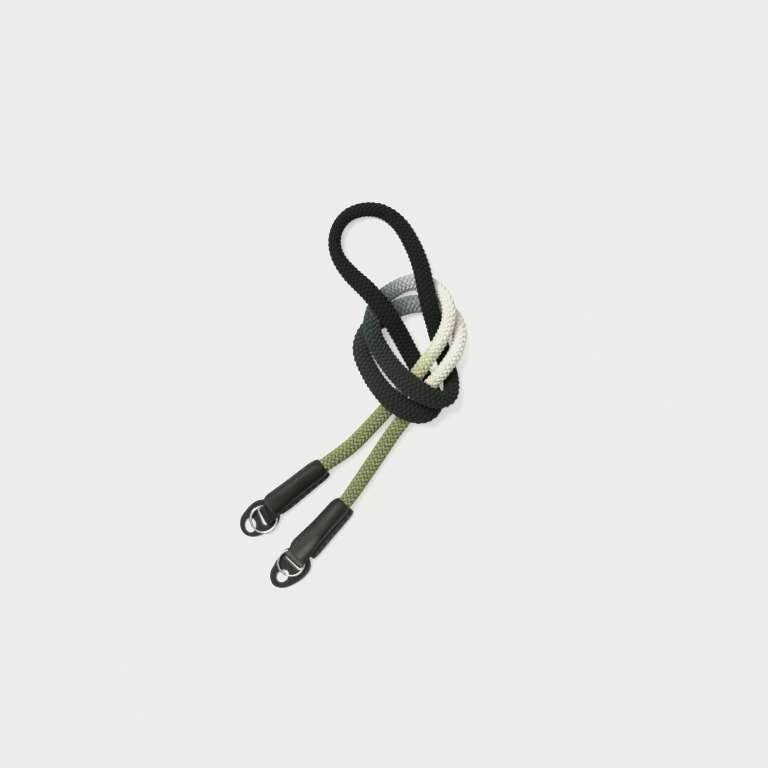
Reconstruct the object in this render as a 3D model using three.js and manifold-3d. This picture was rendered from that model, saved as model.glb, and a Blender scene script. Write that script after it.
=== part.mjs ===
// A camera neck strap, lying on a surface as it is sold: one braided rope, folded in half and tied in a
// loose overhand knot. Each end of the rope is sewn into a leather sleeve. The sleeve's end is a tab that
// folds round a split ring and through the slit of a leather pad, which guards the camera at its lug.
import * as THREE from 'three';
import { mergeVertices } from 'three/addons/utils/BufferGeometryUtils.js';
import Module from 'manifold-3d';

const wasm = await Module();
wasm.setup();

// Driving dimensions, in millimetres
const CLEARANCE = 0.3;
const LEATHER = 1.1;

const ROPE_DIAMETER = 9.6;
const ROPE_SIDES = 12;
const ROPE_IN_SLEEVE = 26;

const SLEEVE_NECK = 10;
const SLEEVE_SIDES = 24;
const TAB_SIDE_CLEARANCE = 1.3;
const SEAM_WIDTH = 3;
const SEAM_START = 1;
const SEAM_HEIGHT = 2.4;

const RING_DIAMETER = 17;
const RING_AHEAD = 0.9;
const RING_STEPS = 44;
const WIRE_WIDTH = 1.3;
const WIRE_HEIGHT = 0.8;
const TURN_GAP = 0.15;

const PAD_BEHIND_SLIT = 7.4;
const PAD_WIDTH = 20.4;
const PAD_THICKNESS = 1.6;
const LUG_HOLE_DIAMETER = 7.8;
const LUG_HOLE_FROM_TIP = 7.2;
const LUG_HOLE_SIDES = 20;
const SLIT_OPENING = 1.3;
const SLIT_SIDE_CLEARANCE = 1.6;

// Each end of the strap: where the sleeve's mouth is, which way the sleeve points, in degrees from +X, how
// far the tab, the ring and the pad sit to the seam's side of the sleeve's middle line, and how far the
// pad, which is cut by hand, runs on from its slit to its tip
const ENDS = [
  {
    name: 'left',
    mouth: [16.5, 34.3],
    heading: 217.1,
    tabAside: 2.9,
    ringAside: 3.5,
    padAside: 2.3,
    padAhead: 14.6,
  },
  {
    name: 'right',
    mouth: [29.1, 12.1],
    heading: 226.6,
    tabAside: 1.7,
    ringAside: 1.5,
    padAside: 3,
    padAhead: 17.2,
  },
];

// The rope's middle line between the two sleeves, in the order left sleeve, knot, loop, knot, right sleeve
const ROUTE = [
  [32.7, 45.9, 5.2], [44.7, 57.9, 4.8], [55.7, 69.9, 4.8], [63.2, 77.9, 6], [69.2, 84.9, 11.8],
  [74.2, 91.4, 15.2], [79.2, 98.4, 15.4], [85.2, 107.9, 16.2], [89.7, 116.9, 15.6], [91.7, 125.4, 15.4],
  [90.7, 133.9, 13.2], [85.7, 140.4, 7.6], [76.7, 143.9, 4.8], [67.2, 143.9, 4.8], [57.2, 138.9, 5.2],
  [50.2, 132.7, 9.6], [46.2, 123.4, 14.6], [46.2, 114.4, 14.8], [52.2, 102.4, 12.8], [60.7, 90.4, 17.6],
  [68.7, 82.9, 23], [77.2, 77.4, 24.4], [85.2, 73.9, 21.5], [91.7, 75.9, 14.8], [93.2, 83.4, 8.4],
  [91.2, 92.4, 4.8], [87.7, 102.4, 4.8], [84.2, 114.9, 6.7], [80.2, 128.9, 15], [77.7, 139.9, 15.4],
  [75.2, 151.9, 14], [70.2, 165.4, 10], [61.7, 179.4, 6.2], [52.2, 186.4, 5], [42.7, 187.9, 4.8],
  [32.2, 184.9, 5], [25.7, 177.9, 6], [23.2, 168.4, 7.5], [25.7, 158.4, 11], [33.2, 148.4, 15.5],
  [42.2, 139.9, 20.6], [49.7, 131.4, 22.2], [56.2, 122.9, 19.6], [62.2, 112.9, 13.6], [67.7, 102.9, 7.5],
  [74.2, 91.4, 4.8], [78.7, 83.9, 4.8], [83.3, 76.4, 4.8], [82.7, 68.9, 8.8], [75.2, 64.7, 14.4],
  [66.7, 66.9, 14.9], [58.2, 71.9, 15.4], [50.2, 80.4, 12], [43.2, 91.9, 6], [39.2, 103.9, 4.8],
  [42.2, 114.4, 4.8], [51.7, 122.5, 4.8], [59.7, 127.9, 4.8], [68.7, 130.9, 4.8], [79.2, 131.4, 4.8],
  [88.7, 128.4, 4.8], [95.7, 121.9, 4.8], [98.2, 112.9, 6], [95.7, 102.4, 12.4], [90.2, 93.9, 15.4],
  [82.2, 84.4, 15.2], [76.3, 78.3, 13.6], [69.9, 70.1, 5.2], [64.7, 62.4, 4.8], [58.2, 53.9, 4.8],
  [45.7, 35.4, 5],
];

// Sizes that follow from them
const sleeveRadius = ROPE_DIAMETER / 2 + CLEARANCE + LEATHER;
const ringRadius = RING_DIAMETER / 2;
const ringHeight = 2 * WIRE_HEIGHT + TURN_GAP;
const tabHalf = ringRadius - WIRE_WIDTH - TAB_SIDE_CLEARANCE;
const slotStart = ROPE_IN_SLEEVE + CLEARANCE + SLEEVE_NECK;
const slitWidth = SLIT_OPENING + LEATHER + 4 * CLEARANCE;
const padBehindFold = slitWidth - SLIT_OPENING + PAD_BEHIND_SLIT;
const ringBehindFold = ringRadius - RING_AHEAD;
const foldEnd = slotStart + 2 * CLEARANCE + Math.max(padBehindFold, ringBehindFold);
const padsAhead = ENDS.map(({ padAhead }) => padAhead);
const padTilt = Math.atan2(LEATHER + 3 * CLEARANCE, Math.min(...padsAhead) + slitWidth);
const padRearRise = (Math.max(...padsAhead) + slitWidth + PAD_BEHIND_SLIT) * Math.sin(padTilt);
const slotTop = padRearRise + PAD_THICKNESS + ringHeight + 2 * CLEARANCE;
const tabHeight = slotTop + LEATHER;
const foldRadius = tabHeight / 2;

const MATERIALS = {
  rope: new THREE.MeshStandardMaterial({ color: 0x4f5a43, roughness: 0.9, metalness: 0 }),
  leather: new THREE.MeshStandardMaterial({ color: 0x23241f, roughness: 0.55, metalness: 0 }),
  steel: new THREE.MeshStandardMaterial({ color: 0xc4c0b8, roughness: 0.25, metalness: 1 }),
};

// A closed solid of three.js's as one of manifold's, and back
function toSolid(geometry) {
  const bare = geometry.index ? geometry.toNonIndexed() : geometry.clone();
  bare.deleteAttribute('normal');
  bare.deleteAttribute('uv');
  const merged = mergeVertices(bare, 1e-4);
  return new wasm.Manifold(new wasm.Mesh({
    numProp: 3,
    vertProperties: new Float32Array(merged.attributes.position.array),
    triVerts: new Uint32Array(merged.index.array),
  }));
}

function toGeometry(solid) {
  const mesh = solid.getMesh();
  const geometry = new THREE.BufferGeometry();
  geometry.setAttribute('position', new THREE.BufferAttribute(new Float32Array(mesh.vertProperties), 3));
  geometry.setIndex(new THREE.BufferAttribute(new Uint32Array(mesh.triVerts), 1));
  geometry.computeVertexNormals();
  return geometry;
}

// A closed skin over sections that stand across the X axis, each a ring of as many [y, z] points
function loft(sections) {
  const sides = sections[0].points.length;
  const positions = sections.flatMap(({ x, points }) => points.flatMap(([y, z]) => [x, y, z]));
  const index = [];
  for (let i = 0; i + 1 < sections.length; i += 1) {
    for (let j = 0; j < sides; j += 1) {
      const k = (j + 1) % sides;
      const [a, b] = [i * sides + j, i * sides + k];
      index.push(a, b, a + sides, b, b + sides, a + sides);
    }
  }
  const last = (sections.length - 1) * sides;
  for (let j = 1; j + 1 < sides; j += 1) {
    index.push(0, j + 1, j);
    index.push(last, last + j, last + j + 1);
  }
  const geometry = new THREE.BufferGeometry();
  geometry.setAttribute('position', new THREE.Float32BufferAttribute(positions, 3));
  geometry.setIndex(index);
  return geometry;
}

// A section between two heights, round where roundness is 1 and nearly a rectangle where it is small
function roundedSection(x, middle, half, low, high, roundness) {
  const bend = (value) => Math.sign(value) * Math.abs(value) ** roundness;
  const points = Array.from({ length: SLEEVE_SIDES }, (_, i) => {
    const angle = ((i + 0.5) / SLEEVE_SIDES) * 2 * Math.PI;
    const up = (low + high) / 2 + ((high - low) / 2) * bend(Math.sin(angle));
    return [middle + half * bend(Math.cos(angle)), up];
  });
  return { x, points };
}

// The sleeve's outer form: a tube round the rope that flattens to the tab. The rows give the place as a
// share of the way to the slot or, past 1, of the slot's length, the half width as a share of the tube's
// radius, and the height as a share of the way from the tube's height to the tab's.
const SLEEVE_ROWS = [
  { along: 0, half: 1, flat: 0, roundness: 1 },
  { along: 0.45, half: 1, flat: 0, roundness: 1 },
  { along: 0.72, half: 1.03, flat: 0.06, roundness: 0.9 },
  { along: 0.88, half: 1.08, flat: 0.5, roundness: 0.72 },
  { along: 1, half: 1.12, flat: 0.85, roundness: 0.58 },
  { along: 1.25, half: 1.12, flat: 1, roundness: 0.5 },
];

function sleeveForm(tabAside) {
  const foldStart = foldEnd - foldRadius;
  const sections = SLEEVE_ROWS.map(({ along, half, flat, roundness }) => {
    const x = along <= 1 ? along * slotStart : slotStart + (along - 1) * (foldStart - slotStart);
    const top = THREE.MathUtils.lerp(2 * sleeveRadius, tabHeight, flat);
    return roundedSection(x, flat * tabAside * 0.4, half * sleeveRadius, 0, top, roundness);
  });
  for (const degrees of [0, 30, 52, 70, 82]) {
    const angle = THREE.MathUtils.degToRad(degrees);
    const reach = foldRadius * Math.cos(angle);
    const x = foldStart + foldRadius * Math.sin(angle);
    sections.push(roundedSection(x, tabAside, tabHalf, foldRadius - reach, foldRadius + reach, 0.3));
  }
  return loft(sections);
}

// The seam: the leather's two edges, sewn together flat along the side of the tube
function seamForm() {
  const end = slotStart - 2 * CLEARANCE;
  const shape = new THREE.Shape();
  shape.moveTo(SEAM_START, sleeveRadius - LEATHER / 2);
  shape.lineTo(SEAM_START + LEATHER, sleeveRadius + SEAM_WIDTH * 0.55);
  shape.lineTo(end * 0.4, sleeveRadius + SEAM_WIDTH);
  shape.lineTo(end - LEATHER, sleeveRadius + SEAM_WIDTH);
  shape.lineTo(end, sleeveRadius + SEAM_WIDTH - LEATHER);
  shape.lineTo(end, sleeveRadius - LEATHER / 2);
  const geometry = new THREE.ExtrudeGeometry(shape, { depth: 2 * LEATHER, bevelEnabled: false });
  geometry.translate(0, 0, SEAM_HEIGHT);
  return geometry;
}

// The room inside the fold, cut right across the tab: flat above and below, round towards the fold
function foldRoom() {
  const reach = foldRadius - LEATHER;
  const middle = foldEnd - foldRadius;
  const shape = new THREE.Shape();
  shape.moveTo(slotStart, LEATHER);
  shape.lineTo(middle, LEATHER);
  shape.absarc(middle, foldRadius, reach, -Math.PI / 2, Math.PI / 2, false);
  shape.lineTo(slotStart, slotTop);
  const width = 4 * PAD_WIDTH;
  const geometry = new THREE.ExtrudeGeometry(shape, { depth: width, bevelEnabled: false, curveSegments: 8 });
  geometry.rotateX(Math.PI / 2);
  geometry.translate(0, width / 2, 0);
  return geometry;
}

// The room that the rope's end fills, open at the mouth
function ropeRoom() {
  const length = ROPE_IN_SLEEVE + CLEARANCE;
  const radius = ROPE_DIAMETER / 2 + CLEARANCE;
  const geometry = new THREE.CylinderGeometry(radius, radius, 2 * length, SLEEVE_SIDES);
  geometry.rotateZ(Math.PI / 2);
  geometry.translate(0, 0, sleeveRadius);
  return geometry;
}

function sleeve(tabAside) {
  const solid = toSolid(sleeveForm(tabAside))
    .add(toSolid(seamForm()))
    .subtract(toSolid(ropeRoom()))
    .subtract(toSolid(foldRoom()));
  return toGeometry(solid);
}

// The pad's outline from its tip at the origin back along -X. The rows give the place as a share of the
// pad's length and the half width as a share of the pad's.
const PAD_ROWS = [
  { along: 0.02, half: 0.3 },
  { along: 0.12, half: 0.57 },
  { along: 0.3, half: 0.79 },
  { along: 0.52, half: 0.99 },
  { along: 0.77, half: 0.89 },
  { along: 0.94, half: 0.52 },
];

function pad(padAhead) {
  const length = padAhead + slitWidth + PAD_BEHIND_SLIT;
  const side = (sign) => PAD_ROWS.map(({ along, half }) => (
    new THREE.Vector2(-along * length, sign * half * (PAD_WIDTH / 2))));
  const round = [new THREE.Vector2(0, 0), ...side(-1), new THREE.Vector2(-length, 0), ...side(1).reverse()];
  const line = new THREE.CatmullRomCurve3(round.map(({ x, y }) => new THREE.Vector3(x, y, 0)), true);
  const outline = line.getSpacedPoints(48).slice(0, -1);
  const shape = new THREE.Shape(outline.map(({ x, y }) => new THREE.Vector2(x, y)));

  const lugHole = new THREE.Path(Array.from({ length: LUG_HOLE_SIDES }, (_, i) => {
    const angle = (i / LUG_HOLE_SIDES) * 2 * Math.PI;
    const reach = LUG_HOLE_DIAMETER / 2;
    return new THREE.Vector2(reach * Math.cos(angle) - LUG_HOLE_FROM_TIP, reach * Math.sin(angle));
  }));
  const slitHalf = tabHalf + SLIT_SIDE_CLEARANCE;
  const [front, back] = [-padAhead, -padAhead - slitWidth];
  const slit = new THREE.Path([
    new THREE.Vector2(front, -slitHalf),
    new THREE.Vector2(front, slitHalf),
    new THREE.Vector2(back, slitHalf),
    new THREE.Vector2(back, -slitHalf),
  ]);
  shape.holes.push(lugHole, slit);
  const geometry = new THREE.ExtrudeGeometry(shape, { depth: PAD_THICKNESS, bevelEnabled: false });
  return toGeometry(toSolid(geometry));
}

// The split ring's wire: two flat turns, the lower one stepping up to the upper one between its two ends
class SplitRingLine extends THREE.Curve {
  getPoint(t, target = new THREE.Vector3()) {
    const step = 20;
    const degrees = THREE.MathUtils.lerp(step, 720 - step, t);
    const rise = THREE.MathUtils.smoothstep(degrees, 360 - step, 360 + step);
    const angle = THREE.MathUtils.degToRad(degrees);
    const radius = ringRadius - WIRE_WIDTH / 2;
    const height = WIRE_HEIGHT / 2 + rise * (WIRE_HEIGHT + TURN_GAP);
    return target.set(radius * Math.cos(angle), radius * Math.sin(angle), height);
  }
}

function splitRing() {
  const line = new SplitRingLine();
  const [halfWidth, halfHeight] = [WIRE_WIDTH / 2, WIRE_HEIGHT / 2];
  const chamfer = halfWidth * 0.45;
  const corners = [
    [halfWidth, 0], [halfWidth - chamfer, halfHeight], [chamfer - halfWidth, halfHeight],
    [-halfWidth, 0], [chamfer - halfWidth, -halfHeight], [halfWidth - chamfer, -halfHeight],
  ];
  const sections = Array.from({ length: RING_STEPS + 1 }, (_, i) => {
    const centre = line.getPoint(i / RING_STEPS);
    const outward = new THREE.Vector3(centre.x, centre.y, 0).normalize();
    return corners.map(([out, up]) => centre.clone().addScaledVector(outward, out).setZ(centre.z + up));
  });
  const sides = corners.length;
  const positions = sections.flatMap((ring) => ring.flatMap((point) => point.toArray()));
  const index = [];
  for (let i = 0; i < RING_STEPS; i += 1) {
    for (let j = 0; j < sides; j += 1) {
      const [a, b] = [i * sides + j, i * sides + ((j + 1) % sides)];
      index.push(a, a + sides, b, b, a + sides, b + sides);
    }
  }
  const last = RING_STEPS * sides;
  for (let j = 1; j + 1 < sides; j += 1) {
    index.push(0, j, j + 1);
    index.push(last, last + j + 1, last + j);
  }
  const geometry = new THREE.BufferGeometry();
  geometry.setAttribute('position', new THREE.Float32BufferAttribute(positions, 3));
  geometry.setIndex(index);
  geometry.computeVertexNormals();
  return geometry;
}

// The rope's line, stepped from one route point to the next, closer together where it bends tightly
class RopeLine extends THREE.CatmullRomCurve3 {
  getPointAt(t, target) {
    return this.getPoint(t, target);
  }

  getTangentAt(t, target) {
    return this.getTangent(t, target);
  }
}

// Points on the sleeve's middle line, given how far inside the mouth they lie
function alongSleeve({ mouth, heading }, depths) {
  const angle = THREE.MathUtils.degToRad(heading);
  return depths.map((depth) => new THREE.Vector3(
    mouth[0] + depth * Math.cos(angle), mouth[1] + depth * Math.sin(angle), sleeveRadius));
}

function rope() {
  const [left, right] = ENDS;
  const points = [
    ...alongSleeve(left, [ROPE_IN_SLEEVE, 0, -2]),
    ...ROUTE.map((point) => new THREE.Vector3(...point)),
    ...alongSleeve(right, [-2, 0, ROPE_IN_SLEEVE]),
  ];
  const section = new THREE.Shape(Array.from({ length: ROPE_SIDES }, (_, i) => {
    const angle = (i / ROPE_SIDES) * 2 * Math.PI;
    return new THREE.Vector2(Math.cos(angle), Math.sin(angle)).multiplyScalar(ROPE_DIAMETER / 2);
  }));
  return new THREE.ExtrudeGeometry(section, { steps: points.length - 1, extrudePath: new RopeLine(points) });
}

function named(name, geometry, material) {
  const mesh = new THREE.Mesh(geometry, material);
  mesh.name = name;
  return mesh;
}

// One end of the strap, in a frame that starts at the sleeve's mouth and runs along the sleeve
function strapEnd({ name, mouth, heading, tabAside, ringAside, padAside, padAhead }) {
  const end = new THREE.Group();
  end.position.set(mouth[0], mouth[1], 0);
  end.rotation.z = THREE.MathUtils.degToRad(heading);
  end.add(named(`sleeve_${name}`, sleeve(tabAside), MATERIALS.leather));

  const sloping = new THREE.Group();
  sloping.position.set(foldEnd + SLIT_OPENING + padAhead, 0, 0);
  sloping.rotation.y = padTilt;
  const lugPad = named(`lug_pad_${name}`, pad(padAhead), MATERIALS.leather);
  lugPad.position.y = padAside;
  const ring = named(`split_ring_${name}`, splitRing(), MATERIALS.steel);
  ring.position.set(RING_AHEAD - SLIT_OPENING - padAhead, ringAside, PAD_THICKNESS + CLEARANCE);
  sloping.add(lugPad, ring);
  end.add(sloping);
  return end;
}

const group = new THREE.Group();
group.add(named('rope', rope(), MATERIALS.rope));
for (const end of ENDS) {
  group.add(strapEnd(end));
}

export default group;
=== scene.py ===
"""A camera neck strap of braided rope with leather ends, folded in half and tied in a loose overhand knot."""
import math

import bmesh
import bpy
import numpy as np
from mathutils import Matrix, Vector, noise
from mathutils.geometry import delaunay_2d_cdt


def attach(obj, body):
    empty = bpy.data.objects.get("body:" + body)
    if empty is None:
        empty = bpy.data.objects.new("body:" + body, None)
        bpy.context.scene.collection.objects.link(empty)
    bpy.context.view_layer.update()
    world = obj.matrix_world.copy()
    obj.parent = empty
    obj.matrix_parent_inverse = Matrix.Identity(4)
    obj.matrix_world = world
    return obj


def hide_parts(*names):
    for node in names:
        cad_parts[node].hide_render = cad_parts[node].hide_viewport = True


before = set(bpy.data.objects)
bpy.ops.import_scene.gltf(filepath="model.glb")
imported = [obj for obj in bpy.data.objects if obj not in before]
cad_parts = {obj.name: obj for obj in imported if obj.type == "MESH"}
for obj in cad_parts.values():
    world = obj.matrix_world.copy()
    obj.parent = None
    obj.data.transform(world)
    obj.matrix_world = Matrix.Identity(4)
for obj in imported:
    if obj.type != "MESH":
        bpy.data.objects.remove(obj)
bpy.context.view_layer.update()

MM = 0.001
scene = bpy.context.scene


def srgb(*levels):
    """A colour given as the eye sees it, 0 to 255, as the light that it stands for."""
    shares = (level / 255 for level in levels)
    return (*(s / 12.92 if s <= 0.04045 else ((s + 0.055) / 1.055) ** 2.4 for s in shares), 1)


# Node trees


class Number:
    """A socket that carries a value. Each operator adds its Math node to the tree."""

    def __init__(self, graph, socket):
        self.graph = graph
        self.socket = socket

    def math(self, operation, *others):
        inputs = dict(enumerate((self, *others)))
        return self.graph.number("ShaderNodeMath", 0, {"operation": operation}, inputs)

    def __add__(self, other):
        return self.math("ADD", other)

    __radd__ = __add__

    def __sub__(self, other):
        return self.math("SUBTRACT", other)

    def __mul__(self, other):
        return self.math("MULTIPLY", other)

    def __truediv__(self, other):
        return self.math("DIVIDE", other)


class Graph:
    """A node tree under construction."""

    def __init__(self, tree):
        self.tree = tree

    def node(self, kind, settings=None, inputs=None):
        """Adds a node: its settings first, then the values or links of its sockets."""
        node = self.tree.nodes.new(kind)
        for key, value in (settings or {}).items():
            setattr(node, key, value)
        self.feed(node, inputs or {})
        return node

    def feed(self, node, inputs):
        """Gives a node's sockets their values or links."""
        for key, value in inputs.items():
            socket = self.socket(node.inputs, key)
            if isinstance(value, Number):
                value = value.socket
            if isinstance(value, bpy.types.NodeSocket):
                self.tree.links.new(value, socket)
            else:
                socket.default_value = value

    def socket(self, sockets, key):
        if isinstance(key, int):
            return sockets[key]
        return next(socket for socket in sockets if socket.name == key and socket.enabled)

    def number(self, kind, output=0, settings=None, inputs=None):
        return Number(self, self.out(kind, output, settings, inputs))

    def out(self, kind, output=0, settings=None, inputs=None):
        node = self.node(kind, settings, inputs)
        return self.socket(node.outputs, output)

    def vector(self, operation, *values):
        return self.out("ShaderNodeVectorMath", 0, {"operation": operation}, dict(enumerate(values)))

    def scaled(self, vector, factor):
        inputs = {"Vector": vector, "Scale": factor}
        return self.out("ShaderNodeVectorMath", 0, {"operation": "SCALE"}, inputs)

    def split(self, vector):
        node = self.node("ShaderNodeSeparateXYZ", inputs={0: vector})
        return [Number(self, output) for output in node.outputs]

    def combined(self, *parts):
        return self.out("ShaderNodeCombineXYZ", inputs=dict(enumerate(parts)))

    def attribute(self, name):
        """A number kept on the mesh, for a material."""
        return self.number("ShaderNodeAttribute", "Fac", {"attribute_name": name})

    def mixed(self, factor, first, second):
        """A colour between two, which are the Mix node's sockets 6 and 7."""
        return self.out("ShaderNodeMix", 2, {"data_type": "RGBA"}, {0: factor, 6: first, 7: second})

    def bump(self, strength, distance, height):
        inputs = {"Strength": strength, "Distance": distance, "Height": height}
        return self.out("ShaderNodeBump", 0, {}, inputs)


def make_tree(name, sizes):
    """A Geometry Nodes tree with a mesh input, named inputs for its sizes, and a mesh output."""
    tree = bpy.data.node_groups.new(name, "GeometryNodeTree")
    tree.interface.new_socket("Geometry", in_out="INPUT", socket_type="NodeSocketGeometry")
    for kind, names in sizes.items():
        for size in names:
            tree.interface.new_socket(size, in_out="INPUT", socket_type=f"NodeSocket{kind}")
    tree.interface.new_socket("Geometry", in_out="OUTPUT", socket_type="NodeSocketGeometry")
    graph = Graph(tree)
    source = graph.node("NodeGroupInput")
    inputs = {socket.name: Number(graph, socket) for socket in source.outputs if socket.name}
    return graph, inputs


def finish_tree(graph, geometry, material):
    """Ends a tree with real geometry, shaded smooth, with its material. Ends a tree as
    the export needs it: real geometry with its material.
    """
    real = graph.out("GeometryNodeRealizeInstances", inputs={0: geometry})
    smooth = graph.out("GeometryNodeSetShadeSmooth", inputs={"Geometry": real})
    done = graph.out("GeometryNodeSetMaterial", inputs={"Geometry": smooth, "Material": material})
    graph.node("NodeGroupOutput", inputs={0: done})


# Making pieces


def add_object(name, data):
    piece = bpy.data.objects.new(name, data)
    scene.collection.objects.link(piece)
    return piece


def make_mesh(name, points, faces, edges=(), numbers=None):
    """A mesh in metres from points in millimetres, with named numbers kept on its points."""
    mesh = bpy.data.meshes.new(name)
    mesh.from_pydata((np.asarray(points) * MM).tolist(), list(edges), [list(face) for face in faces])
    for key, values in (numbers or {}).items():
        mesh.attributes.new(key, "FLOAT", "POINT").data.foreach_set("value", np.asarray(values, dtype=float))
    return mesh


def make_solid(name, points, faces, material, numbers=None):
    """A closed piece whose faces point outwards."""
    mesh = make_mesh(name, points, faces, (), numbers)
    work = bmesh.new()
    work.from_mesh(mesh)
    bmesh.ops.recalc_face_normals(work, faces=work.faces)
    work.to_mesh(mesh)
    work.free()
    mesh.shade_smooth()
    mesh.materials.append(material)
    return add_object(name, mesh)


def grown(name, mesh, tree, sizes):
    """The plain mesh that a Geometry Nodes tree makes from a mesh."""
    source = add_object(name + "_source", mesh)
    modifier = source.modifiers.new("nodes", "NODES")
    modifier.node_group = tree
    for item in tree.interface.items_tree:
        if item.in_out == "INPUT" and item.name in sizes:
            modifier[item.identifier] = sizes[item.name]
    graph = bpy.context.evaluated_depsgraph_get()
    result = bpy.data.meshes.new_from_object(source.evaluated_get(graph), depsgraph=graph)
    source.modifiers.remove(modifier)
    bpy.data.objects.remove(source)
    result.name = name
    return add_object(name, result)


def loft(rings):
    """Points and faces of a closed skin over rings of as many points each."""
    count = len(rings[0])
    total = len(rings) * count
    faces = []
    for i in range(len(rings) - 1):
        for j in range(count):
            a, b = i * count + j, i * count + (j + 1) % count
            faces.append((a, b, b + count, a + count))
    last = total - count
    for j in range(count):
        k = (j + 1) % count
        faces += [(total, k, j), (total + 1, last + j, last + k)]
    return np.vstack([*rings, rings[0].mean(axis=0), rings[-1].mean(axis=0)]), faces


def curve_through(rows, steps):
    """Rows of numbers with smooth steps between them, by a uniform Catmull-Rom."""
    rows = np.asarray(rows, dtype=float)
    rows = np.vstack([2 * rows[0] - rows[1], rows, 2 * rows[-1] - rows[-2]])
    out = []
    for a, b, c, d in zip(rows, rows[1:], rows[2:], rows[3:]):
        for t in np.arange(steps) / steps:
            out.append(0.5 * (2 * b + (c - a) * t + (2 * a - 5 * b + 4 * c - d) * t**2
                              + (3 * b - a - 3 * c + d) * t**3))
    out.append(rows[-2])
    return np.array(out)


# Camera and light

# The view's middle and width in millimetres, and the camera's height in metres
VIEW_MIDDLE = (52.9, 83.3)
VIEW_WIDTH = 460.8
CAMERA_HEIGHT = 1.8
SENSOR_WIDTH = 36

camera_data = bpy.data.cameras.new("camera")
camera_data.sensor_width = SENSOR_WIDTH
camera_data.lens = SENSOR_WIDTH * CAMERA_HEIGHT / (VIEW_WIDTH * MM)
camera_data.clip_end = 20
camera = add_object("camera", camera_data)
camera.location = (VIEW_MIDDLE[0] * MM, VIEW_MIDDLE[1] * MM, CAMERA_HEIGHT)
scene.camera = camera

# The picture's white is held at the pale tone of a studio sheet. The tones bend over to it through these
# points, as shares of that white
WHITE_POINT = (0.838, 0.838, 0.823)
WHITE_BEND = ((0.9, 0.9), (0.97, 0.96), (1.06, 1))
scene.view_settings.view_transform = "Standard"
scene.view_settings.use_curve_mapping = True
tones = scene.view_settings.curve_mapping
for curve, white in zip(tones.curves, WHITE_POINT):
    for place, tone in WHITE_BEND:
        curve.points.new(place * white, tone * white)
    curve.points[-1].location = (1, white)
    for point in curve.points:
        point.handle_type = "VECTOR"
tones.update()


def add_light(name, towards, energy, angle, colour):
    """A soft light that stands far off in one direction."""
    data = bpy.data.lights.new(name, "SUN")
    data.energy = energy
    data.angle = math.radians(angle)
    data.color = colour
    add_object(name, data).rotation_euler = Vector(towards).to_track_quat("Z", "Y").to_euler()


add_light("window", (-0.52, 0.45, 1), energy=2.8, angle=36, colour=(1, 0.995, 0.98))
add_light("overhead", (-0.1, 0.1, 1), energy=0.85, angle=80, colour=(0.98, 0.99, 1))

world = bpy.data.worlds.new("room")
world.use_nodes = True
backdrop = world.node_tree.nodes["Background"]
Graph(world.node_tree).feed(backdrop, {"Color": (0.97, 0.985, 1, 1), "Strength": 0.22})
scene.world = world

# The rope's line

# Sizes in millimetres, as everything from here on but angles and shares
LEATHER = 1.1
SLEEVE_RADIUS = 6.2
ROPE_DIAMETER = 9.6
ROPE_IN_SLEEVE = 26
FOLD_END = 46.6
TAB_HEIGHT = 8.13
SLIT_OPENING = 1.3
SLIT_WIDTH = 3.6
LEFT_PAD_RUN = 14.6
PAD_THICKNESS = 1.6
CLEARANCE = 0.3
PAD_TILT = math.atan2(LEATHER + 3 * CLEARANCE, LEFT_PAD_RUN + SLIT_WIDTH)

# Where the middle of each sleeve's mouth is, and which way the sleeve runs from it, in degrees
MOUTHS = {"left": ((16.5, 34.3), 217.1), "right": ((29.1, 12.1), 226.6)}

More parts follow.
